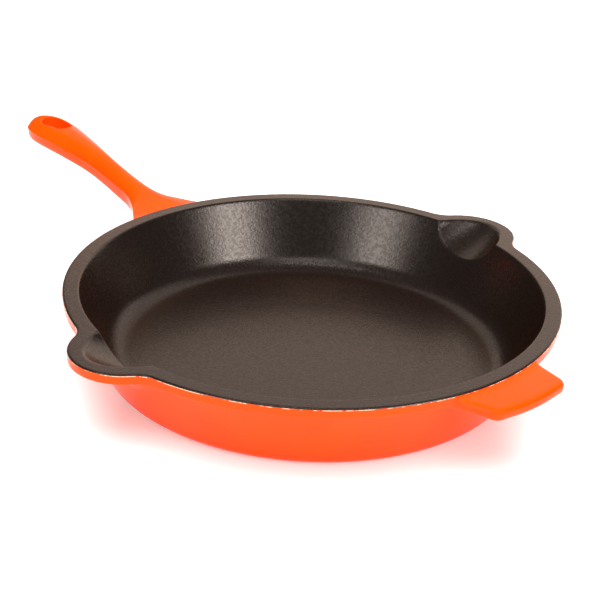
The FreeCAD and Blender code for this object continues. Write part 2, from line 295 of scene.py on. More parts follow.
@dataclass(frozen=True)
class Rim:
    """The rim band's plan outline: a ring with a nose blended onto it at each side."""

    radius: float = 135.0
    nose_reach: float = 124.5
    nose_radius: float = 28.0
    blend_radius: float = 17.0
    height: float = 45.0
    band_height: float = 5.8

    def blend_centre(self) -> tuple[float, float]:
        """The centre of the concave blend arc beside a nose, as (across, outwards) from the pan's axis."""
        near, far = self.nose_radius + self.blend_radius, self.radius + self.blend_radius
        outwards = (far ** 2 - near ** 2 + self.nose_reach ** 2) / (2.0 * self.nose_reach)
        return math.sqrt(far ** 2 - outwards ** 2), outwards

    def reach(self, angle: Array) -> Array:
        """The outline's distance from the axis.

        For a direction at an angle t from the nearer nose's middle: the nose's circle,
        c cos t + sqrt(n^2 - c^2 sin^2 t), then the blend's circle, B.d - sqrt(b^2 - |B|^2 + (B.d)^2),
        then the ring's radius.

        Args:
            angle: directions from +X towards +Y, in radians.

        Returns:
            The distance in each direction.
        """
        turn = np.arccos(np.clip(np.abs(np.sin(angle)), 0.0, 1.0))
        across, outwards = self.blend_centre()
        share = self.nose_radius / (self.nose_radius + self.blend_radius)
        touch = (across * share, self.nose_reach + (outwards - self.nose_reach) * share)
        nose_end, ring_start = math.atan2(*touch), math.atan2(across, outwards)
        nose = (self.nose_reach * np.cos(turn)
                + np.sqrt(np.maximum(self.nose_radius ** 2 - (self.nose_reach * np.sin(turn)) ** 2, 0.0)))
        along = across * np.sin(turn) + outwards * np.cos(turn)
        off = across ** 2 + outwards ** 2 - along ** 2
        blend = along - np.sqrt(np.maximum(self.blend_radius ** 2 - off, 0.0))
        return np.select([turn < nose_end, turn < ring_start], [nose, blend], self.radius)


@dataclass(frozen=True)
class Trough:
    """A pour spout's trough: a long ellipsoid tilted so that it rises outwards."""

    reach: float = 95.0
    height: float = 44.0
    tilt: float = math.radians(17.0)
    depth: float = 22.1
    half_width: float = 27.7
    half_length: float = 60.9
    nowhere: float = 1000.0

    def lowest(self, across: Array, outwards: Array, growth: float = 0.0) -> Array:
        """The ellipsoid's underside, or a height far above the pan where there is none.

        With u and v along and across the tilted length, (x/a)^2 + (u/l)^2 + (v/d)^2 = 1 is a quadratic in the
        height: its lower root is the underside.

        Args:
            across: distance from the spout's middle line.
            outwards: distance from the pan's axis along the spout.
            growth: how much larger every radius is.

        Returns:
            The height of the underside at each place.
        """
        wide, long, deep = self.half_width + growth, self.half_length + growth, self.depth + growth
        cos, sin = math.cos(self.tilt), math.sin(self.tilt)
        run = outwards - self.reach
        square = (sin / long) ** 2 + (cos / deep) ** 2
        linear = 2.0 * run * sin * cos * (1.0 / long ** 2 - 1.0 / deep ** 2)
        rest = (across / wide) ** 2 + run ** 2 * ((cos / long) ** 2 + (sin / deep) ** 2) - 1.0
        inside = linear ** 2 - 4.0 * square * rest
        height = self.height - (linear + np.sqrt(np.maximum(inside, 0.0))) / (2.0 * square)
        return np.where(inside > 0.0, height, self.nowhere)


@dataclass(frozen=True)
class Bowl:
    """The pan's round inner and outer profiles."""

    floor_radius: float = 100.0
    floor_height: float = 4.7
    floor_rounding: float = 13.7
    slope: float = math.tan(math.radians(22.9))
    mouth_radius: float = 126.2
    foot_radius: float = 112.6
    foot_rounding: float = 8.0
    base_radius: float = 105.0
    half_wall: float = 2.7

    def inner_height(self, radius: Array, rim_height: float) -> Array:
        """The inner surface's height: floor, rounding f (1 - sqrt(1 - u^2)), then the sloping wall.

        Args:
            radius: distances from the axis.
            rim_height: the height at which the wall reaches the mouth.

        Returns:
            The height at each distance.
        """
        lean = math.pi / 2.0 - math.atan(self.slope)
        start = self.mouth_radius - self.slope * (rim_height - self.floor_height)
        centre = start - self.floor_rounding * math.tan(lean / 2.0)
        wall = rim_height - (self.mouth_radius - radius) / self.slope
        run = np.clip((radius - centre) / self.floor_rounding, 0.0, math.sin(lean))
        arc = self.floor_height + self.floor_rounding * (1.0 - np.sqrt(1.0 - run * run))
        return np.where(radius > centre + self.floor_rounding * math.sin(lean), wall, arc)

    def middle_radius(self, height: Array) -> Array:
        """The radius of the middle of the wall's thickness at a height, where hidden ends stop."""
        return self.foot_radius - self.half_wall + self.slope * height


def rim_angles(coarse: float = math.radians(1.5), fine: float = math.radians(0.34)) -> Array:
    """Directions round the pan, closer together near the two spouts.

    Args:
        coarse: the step away from the spouts.
        fine: the step at the spouts.

    Returns:
        Directions from 0 up to, and without, a full turn.
    """
    turn = np.linspace(0.0, math.pi / 2.0, 4001)
    step = fine + (coarse - fine) * smoothstep(turn, math.radians(17.0), math.radians(40.0))
    travelled = np.concatenate([[0.0], np.cumsum(np.diff(turn) / step[1:])])
    count = int(round(travelled[-1]))
    quarter = np.interp(np.linspace(0.0, travelled[-1], count + 1), travelled, turn)
    from_spout = quarter[:-1]
    return np.concatenate([
        math.pi / 2.0 - quarter[::-1][:-1],
        math.pi / 2.0 + from_spout,
        1.5 * math.pi - quarter[::-1][:-1],
        1.5 * math.pi + from_spout,
    ])


# ---------------------------------------------------------------- finishes

class Nodes:
    """A small helper that lays out a material's shader nodes."""

    def __init__(self, name: str) -> None:
        """Start a material with its own empty node tree and one principled shader."""
        self.material = bpy.data.materials.new(name)
        self.material.use_nodes = True
        self.tree = self.material.node_tree
        self.tree.nodes.clear()
        output = self.tree.nodes.new("ShaderNodeOutputMaterial")
        self.shader = self.tree.nodes.new("ShaderNodeBsdfPrincipled")
        self.join(self.shader.outputs["BSDF"], output.inputs["Surface"])
        coordinates = self.tree.nodes.new("ShaderNodeTexCoord")
        self.place = coordinates.outputs["Object"]

    def join(self, source: bpy.types.NodeSocket, target: bpy.types.NodeSocket) -> None:
        """Link an output to an input."""
        self.tree.links.new(source, target)

    def noise(self, scale: float, detail: float = 3.0, roughness: float = 0.5) -> bpy.types.NodeSocket:
        """A noise value over the object's own place, in metres.

        Args:
            scale: how many bumps there are in a metre.
            detail: how many finer layers it has.
            roughness: how strong the finer layers are.

        Returns:
            The noise from 0 to 1.
        """
        node = self.tree.nodes.new("ShaderNodeTexNoise")
        node.inputs["Scale"].default_value = scale
        node.inputs["Detail"].default_value = detail
        node.inputs["Roughness"].default_value = roughness
        self.join(self.place, node.inputs["Vector"])
        return node.outputs["Fac"]

    def cells(self, scale: float, smooth: float = 0.0) -> bpy.types.NodeSocket:
        """The distance to the nearest of scattered points, for grains and pits.

        Args:
            scale: how many points there are along a metre.
            smooth: how far neighbouring cells melt together, 0 for sharp cells.

        Returns:
            The distance.
        """
        node = self.tree.nodes.new("ShaderNodeTexVoronoi")
        node.inputs["Scale"].default_value = scale
        if smooth > 0.0:
            node.feature = "SMOOTH_F1"
            node.inputs["Smoothness"].default_value = smooth
        self.join(self.place, node.inputs["Vector"])
        return node.outputs["Distance"]

    def math(self, kind: str, first: Value, second: Value = 0.0) -> bpy.types.NodeSocket:
        """A sum, product or other operation.

        Args:
            kind: the operation's name.
            first: its first value.
            second: its second value, where it takes one.

        Returns:
            The result.
        """
        node = self.tree.nodes.new("ShaderNodeMath")
        node.operation = kind
        for target, value in zip(node.inputs, (first, second)):
            self.feed(value, target)
        return node.outputs[0]

    def times(self, first: Value, second: Value) -> bpy.types.NodeSocket:
        """The product of two values."""
        return self.math("MULTIPLY", first, second)

    def feed(self, value: Value | Colour, target: bpy.types.NodeSocket) -> None:
        """Link a socket to an input, or set a number or a colour on it.

        Args:
            value: a socket, a number, or a red, green and blue triple.
            target: the input.
        """
        if isinstance(value, bpy.types.NodeSocket):
            self.join(value, target)
        else:
            target.default_value = (*value, 1.0) if isinstance(value, tuple) else value

    def set(self, name: str, value: Value | Colour) -> None:
        """Feed one of the principled shader's inputs, by its name."""
        self.feed(value, self.shader.inputs[name])

    def range(self, value: bpy.types.NodeSocket, source: tuple[float, float],
              result: tuple[float, float]) -> bpy.types.NodeSocket:
        """A value smoothly carried from one range to another.

        Args:
            value: the socket to read.
            source: the range it is read over.
            result: what the ends of that range become.

        Returns:
            The carried value.
        """
        node = self.tree.nodes.new("ShaderNodeMapRange")
        node.interpolation_type = "SMOOTHSTEP"
        self.join(value, node.inputs["Value"])
        for name, number in zip(("From Min", "From Max", "To Min", "To Max"), source + result):
            node.inputs[name].default_value = number
        return node.outputs["Result"]

    def mix(self, share: Value, first: Value | Colour, second: Value | Colour) -> bpy.types.NodeSocket:
        """A colour between two others.

        Args:
            share: how much of the second there is.
            first: the colour at a share of 0.
            second: the colour at a share of 1.

        Returns:
            The mixed colour.
        """
        node = self.tree.nodes.new("ShaderNodeMix")
        node.data_type = "RGBA"
        self.feed(share, node.inputs["Factor"])
        for name, colour in (("A", first), ("B", second)):
            self.feed(colour, next(s for s in node.inputs if s.name == name and s.type == "RGBA"))
        return next(s for s in node.outputs if s.type == "RGBA")

    def split(self) -> Sequence[bpy.types.NodeSocket]:
        """The place's X, Y and Z, in metres."""
        node = self.tree.nodes.new("ShaderNodeSeparateXYZ")
        self.join(self.place, node.inputs[0])
        return node.outputs

    def reach(self) -> bpy.types.NodeSocket:
        """The distance from the pan's upright axis, in metres."""
        across = self.split()
        squares = self.math("ADD", self.times(across["X"], across["X"]), self.times(across["Y"], across["Y"]))
        return self.math("SQRT", squares)

    def bump(self, height: bpy.types.NodeSocket, distance: float, strength: float = 1.0,
             over: bpy.types.NodeSocket | None = None) -> bpy.types.NodeSocket:
        """A normal tilted by a height.

        Args:
            height: the height, from 0 to 1.
            distance: how tall a height of 1 is, in metres.
            strength: how much of the tilt is used.
            over: a coarser normal to add to.

        Returns:
            The tilted normal.
        """
        node = self.tree.nodes.new("ShaderNodeBump")
        node.inputs["Distance"].default_value = distance
        node.inputs["Strength"].default_value = strength
        self.join(height, node.inputs["Height"])
        if over is not None:
            self.join(over, node.inputs["Normal"])
        return node.outputs["Normal"]


@dataclass(frozen=True)
class GlossyEnamel:
    """Glossy orange enamel, redder where it is thin; optionally with a painted highlight along the rim band's
    top edge, in broken pale dashes.
    """

    name: str = "glossy orange enamel"
    thick: Colour = (0.93, 0.072, 0.001)
    thin: Colour = (0.84, 0.055, 0.001)
    # painted highlight: a pale colour standing in for the white glints along the rim band's outer top edge
    painted_highlight: Colour = (0.95, 0.62, 0.42)
    painted_highlight_heights: tuple[float, float] = (0.0437, 0.0440)
    painted_highlight_reaches: tuple[float, float] = (0.1345, 0.1349)
    with_painted_highlight: bool = False
    gloss: float = 0.12
    roughness: float = 0.13
    wave: float = 0.00012
    speckle: float = 0.000012

    def painted_highlight_share(self, nodes: Nodes) -> bpy.types.NodeSocket:
        """How much of the painted highlight shows: high on the rim band, at its outer edge, in broken runs."""
        high = nodes.range(nodes.split()["Z"], self.painted_highlight_heights, (0.0, 1.0))
        outer = nodes.range(nodes.reach(), self.painted_highlight_reaches, (0.0, 1.0))
        broken = nodes.range(nodes.noise(scale=190.0, detail=4.0, roughness=0.7), (0.46, 0.56), (0.0, 1.0))
        return nodes.times(nodes.times(high, outer), broken)

    def material(self) -> bpy.types.Material:
        """The enamel's material."""
        nodes = Nodes(self.name)
        flow = nodes.range(nodes.noise(scale=38.0, detail=2.0), (0.35, 0.65), (0.0, 1.0))
        mottle = nodes.noise(scale=420.0)
        share = nodes.math("ADD", nodes.times(flow, 0.35), nodes.times(mottle, 0.25))
        colour = nodes.mix(share, self.thick, self.thin)
        # paint the rim's highlight dashes into the base colour
        if self.with_painted_highlight:
            colour = nodes.mix(self.painted_highlight_share(nodes), colour, self.painted_highlight)
        nodes.set("Base Color", colour)
        nodes.set("Roughness", nodes.range(nodes.noise(scale=260.0, detail=4.0), (0.3, 0.7),
                                           (self.roughness * 0.8, self.roughness * 1.25)))
        nodes.set("IOR", 1.5)
        nodes.set("Specular IOR Level", self.gloss)
        waves = nodes.bump(nodes.noise(scale=70.0, detail=1.0), self.wave, 0.6)
        nodes.set("Normal", nodes.bump(nodes.noise(scale=900.0), self.speckle, 0.7, waves))
        return nodes.material


@dataclass(frozen=True)
class PebbledEnamel:
    """Satin black-brown enamel with a fine pebbled grain, under a thin smoky layer that warms its shine."""

    name: str = "pebbled black enamel"
    dark: Colour = (0.0075, 0.0058, 0.0055)
    light: Colour = (0.0125, 0.0097, 0.0092)
    smoke: Colour = (1.0, 0.86, 0.77)
    roughness: float = 0.26
    swell: float = 0.00002
    pebble: float = 0.00007
    grit: float = 0.00003

    def material(self) -> bpy.types.Material:
        """The enamel's material."""
        nodes = Nodes(self.name)
        grain = nodes.cells(scale=1050.0, smooth=0.4)
        share = nodes.math("ADD", nodes.times(grain, 0.7), nodes.times(nodes.noise(scale=24.0), 0.5))
        nodes.set("Base Color", nodes.mix(share, self.dark, self.light))
        nodes.set("Roughness", nodes.range(nodes.noise(scale=500.0, detail=4.0), (0.3, 0.7),
                                           (self.roughness * 0.85, self.roughness * 1.2)))
        nodes.set("IOR", 1.7)
        nodes.set("Coat Weight", 1.0)
        nodes.set("Coat Roughness", 0.3)
        nodes.set("Coat IOR", 1.05)
        nodes.set("Coat Tint", self.smoke)
        coarse = nodes.bump(nodes.noise(scale=180.0, detail=2.0), self.swell, 0.6)
        pebbles = nodes.bump(grain, self.pebble, 0.9, coarse)
        nodes.set("Normal", nodes.bump(nodes.noise(scale=1900.0), self.grit, 0.9, pebbles))
        return nodes.material


@dataclass(frozen=True)
class WornEnamel:
    """The base's enamel: the exterior orange, rubbed matt and greyer in a ring where the pan stands."""

    name: str = "worn orange base enamel"
    colour: Colour = (0.86, 0.09, 0.002)
    rubbed: Colour = (0.35, 0.07, 0.02)
    ring: tuple[float, float] = (0.088, 0.102)
    scratch: float = 0.00003

    def material(self) -> bpy.types.Material:
        """The enamel's material."""
        nodes = Nodes(self.name)
        patchy = nodes.range(nodes.noise(scale=240.0, detail=6.0, roughness=0.7), (0.4, 0.62), (0.0, 1.0))
        wear = nodes.times(nodes.range(nodes.reach(), self.ring, (0.0, 1.0)), patchy)
        nodes.set("Base Color", nodes.mix(wear, self.colour, self.rubbed))
        nodes.set("Roughness", nodes.range(wear, (0.0, 1.0), (0.2, 0.6)))
        nodes.set("Normal", nodes.bump(nodes.noise(scale=700.0, detail=5.0), self.scratch))
        return nodes.material


@dataclass(frozen=True)
class RawIron:
    """Grey cast iron as it leaves the mould: dark, granular and slightly rusty in its pits."""

    name: str = "grey cast iron"
    dark: Colour = (0.035, 0.036, 0.040)
    light: Colour = (0.11, 0.11, 0.115)
    rust: Colour = (0.09, 0.04, 0.02)
    metal: float = 0.7
    sand: float = 0.00025

    def material(self) -> bpy.types.Material:
        """The iron's material."""
        nodes = Nodes(self.name)
        grain = nodes.cells(scale=900.0)
        patches = nodes.range(nodes.noise(scale=60.0, detail=5.0), (0.52, 0.7), (0.0, 0.6))
        grey = nodes.mix(nodes.noise(scale=300.0, detail=5.0), self.dark, self.light)
        nodes.set("Base Color", nodes.mix(patches, grey, self.rust))
        nodes.set("Metallic", self.metal)
        nodes.set("Roughness", nodes.range(grain, (0.0, 0.8), (0.75, 0.5)))
        nodes.set("Normal", nodes.bump(grain, self.sand, 0.8))
        return nodes.material


@dataclass(frozen=True)
class StudioPaper:
    """Plain pale paper that the pan stands on, lit faintly from beneath."""

    name: str = "pale studio floor"
    colour: Colour = (0.88, 0.88, 0.88)
    white: Colour = (1.0, 1.0, 1.0)
    glow: float = 0.28

    def material(self) -> bpy.types.Material:
        """The floor's material."""
        nodes = Nodes(self.name)
        nodes.set("Base Color", self.colour)
        nodes.set("Roughness", 0.9)
        nodes.set("Specular IOR Level", 0.15)
        nodes.set("Emission Color", self.white)
        nodes.set("Emission Strength", self.glow)
        return nodes.material


# ---------------------------------------------------------------- pieces

class Piece:
    """A built piece: its mesh, its finish, and the CAD nodes it stands for."""

    name: str = "piece"
    slot: Slot = Slot.EXTERIOR
    stands_for: tuple[str, ...] = ()

    def surface(self) -> Surface:
        """The piece's surface; each piece computes its own."""
        raise NotImplementedError

    def build(self, material: bpy.types.Material) -> bpy.types.Object:
        """Build the piece, dress it and hang it on the pan's one body.

        Args:
            material: the finish it gets.

        Returns:
            The finished object.
        """
        built = self.surface().build()
        built.data.materials.append(material)
        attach(built, "root")
        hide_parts(*self.stands_for)
        return built


@dataclass
class InteriorCoat(Piece):
    """The black enamel inside the pan, over the flat rim and down both troughs, one thin closed shell."""

    rim: Rim = field(default_factory=Rim)
    bowl: Bowl = field(default_factory=Bowl)
    trough: Trough = field(default_factory=Trough)
    name: str = "interior_coat"
    slot: Slot = Slot.INTERIOR
    stands_for: tuple[str, ...] = ("interior_enamel",)
    crease: float = 1.5
    edge_rounding: float = 1.1
    edge_drop: float = 0.9
    thickness: float = 0.35
    deepest: float = 60.0
    flat_radii: tuple[float, float, float] = (88.0, 99.0, 99.6)
    arc_crowding: float = 0.85
    crease_reach: float = 2.0
    lip_reach: float = 1.6
    least_flank: float = 2.4
    least_gap: float = 0.04

    def height(self, x: Array, y: Array) -> Array:
        """The coat's height: the lowest of rim, bowl and trough, blended over a narrow crease.

        Args:
            x: places along X.
            y: places along Y.

        Returns:
            min(rim, bowl(r), trough(x, |y|)), each pair smoothly joined.
        """
        radius = np.hypot(x, y)
        bowl = self.bowl.inner_height(radius, self.rim.height)
        scoop = np.minimum(self.trough.lowest(x, np.abs(y)), self.deepest)
        land = np.full_like(radius, self.rim.height)
        return smooth_min(smooth_min(land, bowl, self.crease), scoop, self.crease)

    def rings(self, angle: Array) -> Array:
        """Distances from the axis for every ring of points, crowded at the creases.

        Args:
            angle: directions round the pan.

        Returns:
            Distances, shape (rings, directions).
        """
        outer = self.rim.reach(angle) - self.edge_rounding
        sin, cos = np.abs(np.sin(angle)), np.cos(angle)

        def scoop(reach: Array) -> Array:
            """The trough's height at distances from the axis."""
            return self.trough.lowest(reach * cos, reach * sin)

        mouth = self.bowl.mouth_radius
        crease = bisect(lambda r: self.bowl.inner_height(r, self.rim.height) - scoop(r),
                        np.full_like(angle, 105.0), np.full_like(angle, mouth))
        crease = np.minimum(crease, mouth)
        lip = bisect(lambda r: scoop(r) - self.rim.height, np.full_like(angle, mouth - 4.0), outer + 6.0)
        lip = np.clip(lip, mouth, outer - self.lip_reach)
        lip = np.maximum(lip, crease + self.least_flank)
        inner, last, arc_start = self.flat_radii
        floor = spread([0.0, inner, last], [22, 8])[1:, None] * np.ones_like(angle)
        arc_end = np.full_like(angle, self.bowl.floor_radius + self.bowl.floor_rounding
                               * math.sin(math.pi / 2.0 - math.atan(self.bowl.slope)))
        rounding = spread([0.0, 1.0], [16])[:, None] ** self.arc_crowding
        rows = [floor, arc_start + (arc_end - arc_start) * rounding]
        stops = [arc_end, crease - self.crease_reach, crease + self.crease_reach,
                 lip - self.lip_reach, lip + self.lip_reach, outer]
        for start, end, steps in zip(stops[:-1], stops[1:], (12, 12, 9, 10, 5)):
            rows.append(straight(start, end, steps))
        radii = np.concatenate(rows)
        room = self.least_gap * np.arange(len(radii))[:, None]
        return np.maximum.accumulate(radii - room, axis=0) + room

    def surface(self) -> Surface:
        """The coat: the height field on rings, the rounded outer edge, then the same surface pushed inwards.

        The edge is a quarter circle e = edge_rounding: r = R - e + e sin t, z = z0 - e (1 - cos t). The
        back lies a thickness under the front, along its normals.

        Returns:
            The closed surface.
        """
        angle = rim_angles()
        radii = self.rings(angle)
        x, y = radii * np.cos(angle), radii * np.sin(angle)
        z = self.height(x, y)
        turn = spread([0.0, math.acos(1.0 - self.edge_drop / self.edge_rounding)], [7])[1:, None]
        edge_r = radii[-1] + self.edge_rounding * np.sin(turn)
        edge_z = z[-1] - self.edge_rounding * (1.0 - np.cos(turn))
        top = np.concatenate([np.stack([x, y, z], -1), on_rings(edge_r, angle, edge_z)])
        middle = np.array([0.0, 0.0, self.bowl.floor_height])
        surface = Surface(self.name)
        front = surface.add(top)
        surface.quads(front, closed=True, flip=True)
        surface.fan(surface.add(middle), front[0])
        chosen = np.unique(np.concatenate([np.arange(0, len(top) - 1, 3), [len(top) - 2]]))
        back = surface.add(pushed_in(top, self.thickness)[chosen])
        surface.quads(back, closed=True)
        surface.fan(surface.add(middle - [0.0, 0.0, self.thickness]), back[0], flip=True)
        surface.quads(np.stack([front[-1], back[-1]]), closed=True, flip=True)
        return surface


@dataclass
class OuterCoat(Piece):
    """The orange enamel outside: the rim band, the sloping wall with a belly under each trough, the foot."""

    rim: Rim = field(default_factory=Rim)
    bowl: Bowl = field(default_factory=Bowl)
    trough: Trough = field(default_factory=Trough)
    name: str = "outer_coat"
    stands_for: tuple[str, ...] = ("exterior_enamel",)
    belly: float = 5.0
    belly_blend: float = 4.0
    top: float = 44.15
    top_rise: float = 0.25
    top_inset: float = 0.5
    under_rounding: float = 1.3
    least_ledge: float = 1.5
    tuck: float = 2.2
    levels: tuple[float, float, float] = (30.0, 20.0, 4.888)
    thickness: float = 0.35
    search: tuple[float, float] = (90.0, 80.0)

    def wall(self, angle: Array, height: Array) -> Array:
        """The wall's distance from the axis at a height, with the belly under each trough blended in.

        The cone is f + s z; the belly is where the trough's ellipsoid, grown by the belly, has its underside at
        that height.

        Args:
            angle: directions round the pan.
            height: heights over the table.

        Returns:
            The larger of cone and belly, smoothly joined.
        """
        cone = self.bowl.foot_radius + self.bowl.slope * height
        cos, sin = np.cos(angle), np.abs(np.sin(angle))

        def above(reach: Array) -> Array:
            """How far the grown trough's underside lies over the height."""
            return self.trough.lowest(reach * cos, reach * sin, self.belly) - height

        start, reach = self.search
        low = np.broadcast_to(start, np.broadcast(angle, height).shape)
        belly = bisect(above, low, low + reach)
        belly = np.where(belly > low + reach - 1.0, 0.0, belly)
        return smooth_max(cone, belly, self.belly_blend)

    def surface(self) -> Surface:
        """The coat as profiles round the pan: down the band, under it, down the wall and round the foot.

        Corners are quadratic curves. The foot is the arc r = c + f cos t, z = f + f sin t. The hidden side
        lies a thickness inwards.

        Returns:
            The closed surface.
        """
        angle = rim_angles()
        band = self.rim.reach(angle)
        bottom = self.rim.height - self.rim.band_height

        def place(radius: Array | float, height: float) -> Array:
            """A ring's distances and heights, shape (2, directions)."""
            return np.stack([radius * np.ones_like(angle), height * np.ones_like(angle)])

        tuck = bottom - self.tuck
        tucked = place(self.wall(angle, np.full_like(angle, tuck)), tuck)
        under_wall = np.minimum(self.wall(angle, np.full_like(angle, bottom - 0.2)), band - self.least_ledge)
        inner = np.maximum(under_wall, tucked[0])
        ledge = band - self.under_rounding
        near_wall = place(np.minimum(inner + 1.0, ledge - 0.2), bottom)
        start = place(band - self.top_inset, self.top + self.top_rise)
        head, low_band = place(band, self.top), place(band, bottom + self.under_rounding)
        rows = [start[None], straight(start, head, 2), straight(head, low_band, 8),
                curved(low_band, place(band, bottom), place(ledge, bottom), 6),
                straight(place(ledge, bottom), near_wall, 4),
                curved(near_wall, place(inner, bottom - 0.3), tucked, 6)]
        levels = spread([tuck, *self.levels], [8, 9, 12])[1:, None] * np.ones_like(angle)
        rows.append(np.stack([self.wall(angle[None, :], levels), levels], 1))
        lean, foot = math.atan(self.bowl.slope), self.bowl.foot_rounding
        centre = self.bowl.foot_radius + self.bowl.slope * self.levels[-1] - foot * math.cos(lean)
        for turn in np.linspace(-lean, -math.pi / 2.0, 13)[1:]:
            rows.append(place(centre + foot * math.cos(turn), foot + foot * math.sin(turn))[None])
        rows.append(place(self.bowl.base_radius, 0.0)[None])
        profile = np.concatenate(rows)
        outer = on_rings(profile[:, 0], angle, profile[:, 1])
        surface = Surface(self.name)
        front = surface.add(outer)
        surface.quads(front, closed=True, flip=True)
        chosen = np.unique(np.concatenate([np.arange(1, len(outer) - 1, 2), [len(outer) - 2]]))
        back = surface.add(pushed_in(outer, self.thickness)[chosen])
        surface.quads(back, closed=True)
        surface.quads(np.stack([back[0], front[0]]), closed=True, flip=True)
        surface.quads(np.stack([front[-1], back[-1]]), closed=True, flip=True)
        return surface


@dataclass
class BaseCoat(Piece):
    """The enamel under the base: a flat disc with a barely dished middle."""

    radius: float = 105.0
    thickness: float = 0.4
    dish: float = 0.25
    dished: float = 0.8
    top_rings: tuple[float, float] = (60.0, 12.0)
    name: str = "base_coat"
    stands_for: tuple[str, ...] = ("base_enamel",)

    def surface(self) -> Surface:
        """The disc: underside z = d (1 - (r / k R)^2)^2 inside k R, 0 outside; its top lies flat.

        Returns:
            The closed surface.
        """
        angle = np.linspace(0.0, 2.0 * math.pi, 256, endpoint=False)
        radii = spread([0.0, self.dished * self.radius, self.radius], [18, 6])[1:, None]
        inside = np.clip(1.0 - (radii / (self.dished * self.radius)) ** 2, 0.0, 1.0)
        surface = Surface(self.name)
        low = surface.add(on_rings(radii, angle, self.dish * inside ** 2))
        surface.quads(low, closed=True)
        surface.fan(surface.add(np.array([0.0, 0.0, self.dish])), low[0], flip=True)
        top_radii = np.array([self.radius, *self.top_rings])[:, None]
        top = surface.add(on_rings(top_radii, angle, self.thickness))
        surface.quads(top, closed=True)
        surface.fan(surface.add(np.array([0.0, 0.0, self.thickness])), top[-1])
        surface.quads(np.stack([low[-1], top[0]]), closed=True)
        return surface


@dataclass(frozen=True)
class Stations:
    """Sizes of the long handle along X: half width, widest line, dome over it and boxed underside below it."""

    along: tuple[float, ...] = (117.0, 126.0, 135.0, 146.0, 162.0, 182.0, 208.0, 232.0, 254.0, 256.0)
    half_width: tuple[float, ...] = (36.1, 29.2, 23.4, 16.3, 8.7, 7.1, 8.2, 12.0, 14.6, 14.62)
    parting: tuple[float, ...] = (43.7, 43.75, 43.9, 44.7, 45.7, 48.7, 53.9, 57.6, 59.7, 59.75)
    dome: tuple[float, ...] = (0.5, 0.6, 0.85, 2.3, 5.8, 7.0, 7.3, 7.3, 7.3, 7.28)
    drop: tuple[float, ...] = (11.35, 11.65, 11.85, 11.35, 9.1, 7.85, 7.3, 7.35, 7.5, 7.5)
    tip: float = 280.1
    plan_power: float = 2.35
    depth_powers: tuple[float, float] = (2.94, 2.5)
    tip_rise: float = 0.02
    tip_fall: float = 0.0008

    def smooth(self, values: Sequence[float], x: Array) -> Array:
        """A station size at any place: cubic Hermite pieces with centred slopes.

        Args:
            values: the size at every station.
            x: places along X.

        Returns:
            h00 a + h10 m_a + h01 b + h11 m_b in each stretch.
        """
        knots, sizes = np.array(self.along), np.array(values)
        gaps = np.diff(knots)
        chords = np.diff(sizes) / gaps
        inner = (chords[:-1] * gaps[1:] + chords[1:] * gaps[:-1]) / (gaps[1:] + gaps[:-1])
        slopes = np.concatenate([[chords[0]], inner, [0.0]])
        place = np.clip(np.searchsorted(knots, x) - 1, 0, len(gaps) - 1)
        gap = gaps[place]
        t = np.clip((x - knots[place]) / gap, 0.0, 1.0)
        start, end = sizes[place], sizes[place + 1]
        lift, sink = t * t * (3 - 2 * t), t * t * (t - 1)
        lean = slopes[place] * t * (1 - t) ** 2 + slopes[place + 1] * sink
        return start * (1 - lift) + end * lift + gap * lean

    def rounding(self, x: Array, inner: float, outer: float) -> Array:
        """How a size dies away round the tip: (1 - t^inner)^(1 / outer) past the last station, 1 before it.

        Args:
            x: places along X.
            inner: the power inside.
            outer: the root outside.

        Returns:
            The share of the size that is left.
        """
        t = np.clip((x - self.along[-1]) / (self.tip - self.along[-1]), 0.0, 1.0)
        return (1.0 - t ** inner) ** (1.0 / outer)

    def width_at(self, x: Array) -> Array:
        """The half width."""
        return self.smooth(self.half_width, x) * self.rounding(x, self.plan_power, self.plan_power)

    def parting_at(self, x: Array) -> Array:
        """The height of the widest line."""
        past = np.maximum(x - self.along[-1], 0.0)
        return self.smooth(self.parting, x) + self.tip_rise * past - self.tip_fall * past ** 2

    def dome_at(self, x: Array) -> Array:
        """The dome's rise."""
        return self.smooth(self.dome, x) * self.rounding(x, *self.depth_powers)

    def drop_at(self, x: Array) -> Array:
        """The underside's drop."""
        return self.smooth(self.drop, x) * self.rounding(x, *self.depth_powers)


@dataclass(frozen=True)
class EggHole:
    """The hanging hole in plan: two round ends joined by their outer tangents."""

    inner_place: float = 248.4
    inner_radius: float = 5.6
    outer_place: float = 259.4
    outer_radius: float = 7.3

    def distance(self, x: Array, y: Array) -> Array:
        """The distance outside the hole's edge, negative inside.

        With the circles a length L apart and b = (r1 - r2) / L: a point is nearest to the first circle, the
        second circle or the tangent, by which side of the tangent's normals it lies.

        Args:
            x: places along X.
            y: places along Y.

        Returns:
            The signed distance.
        """
        length = self.outer_place - self.inner_place
        lean = (self.inner_radius - self.outer_radius) / length
        rise = math.sqrt(1.0 - lean * lean)
        u, v = x - self.inner_place, np.abs(y)
        along = u * rise - v * lean
        side = v * rise + u * lean
        return np.select([along < 0.0, along > length * rise],
                         [np.hypot(u, v) - self.inner_radius, np.hypot(u - length, v) - self.outer_radius],
                         side - self.inner_radius)

    def edge(self, angle: Array, centre: float) -> Array:
        """The hole's edge along rays from a point on its middle line, by bisection.

        Args:
            angle: the rays' directions.
            centre: the point's place along X.

        Returns:
            The distance to the edge along each ray.
        """
        def outside(reach: Array) -> Array:
            """The distance outside the edge, at distances along the rays."""
            return self.distance(centre + reach * np.cos(angle), reach * np.sin(angle))
        return bisect(outside, np.zeros_like(angle), np.full_like(angle, 30.0))


